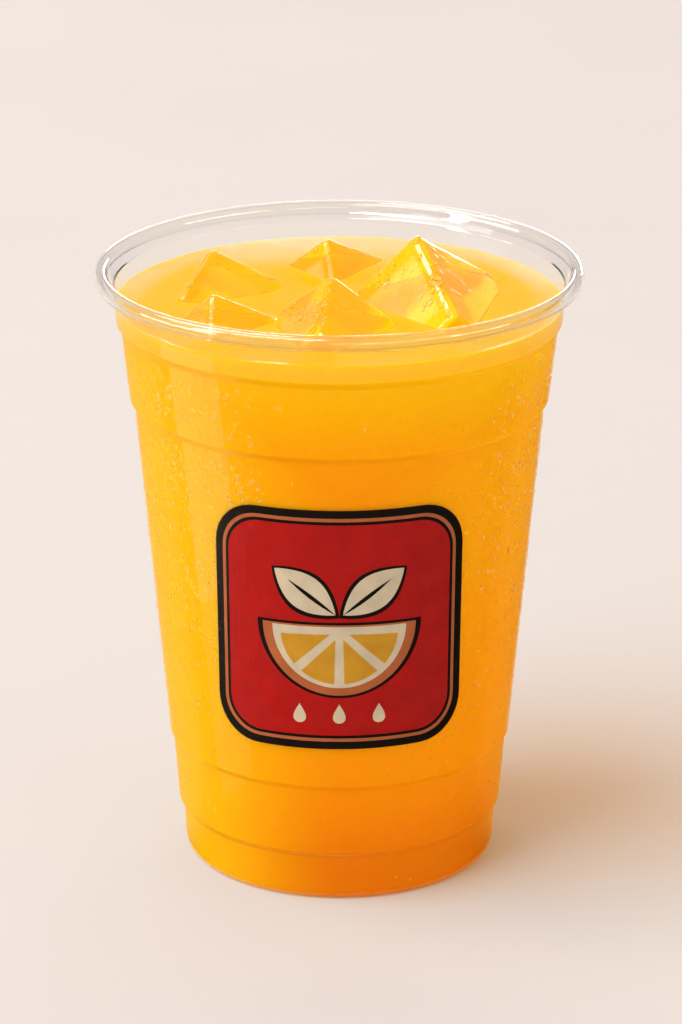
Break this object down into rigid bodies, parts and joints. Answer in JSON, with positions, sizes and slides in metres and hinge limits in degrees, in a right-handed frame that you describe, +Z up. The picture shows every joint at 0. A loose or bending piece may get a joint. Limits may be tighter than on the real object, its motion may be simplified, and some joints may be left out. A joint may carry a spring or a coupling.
{
  "type": "cup of orange juice",
  "caption": "Clear stepped plastic tumbler with a rolled rim, filled with orange juice to just under the rim, with blocks of ice standing out of the drink.",
  "frame": {"origin": "centre of the foot ring, on the surface the cup stands on", "axes": "+Z up along the cup's axis; -Y is the side that carries the print and faces the viewer in the picture"},
  "size_m": [0.098, 0.098, 0.131],
  "materials": {
    "cup": "clear gloss",
    "juice": "cloudy liquid",
    "ice": "clear, wet"
  },
  "bodies": {
    "root": {"cup": "cup", "juice": "juice", "ice_right": "ice", "ice_left": "ice", "ice_front_left": "ice", "ice_front": "ice", "ice_back": "ice"}
  },
  "joints": []
}
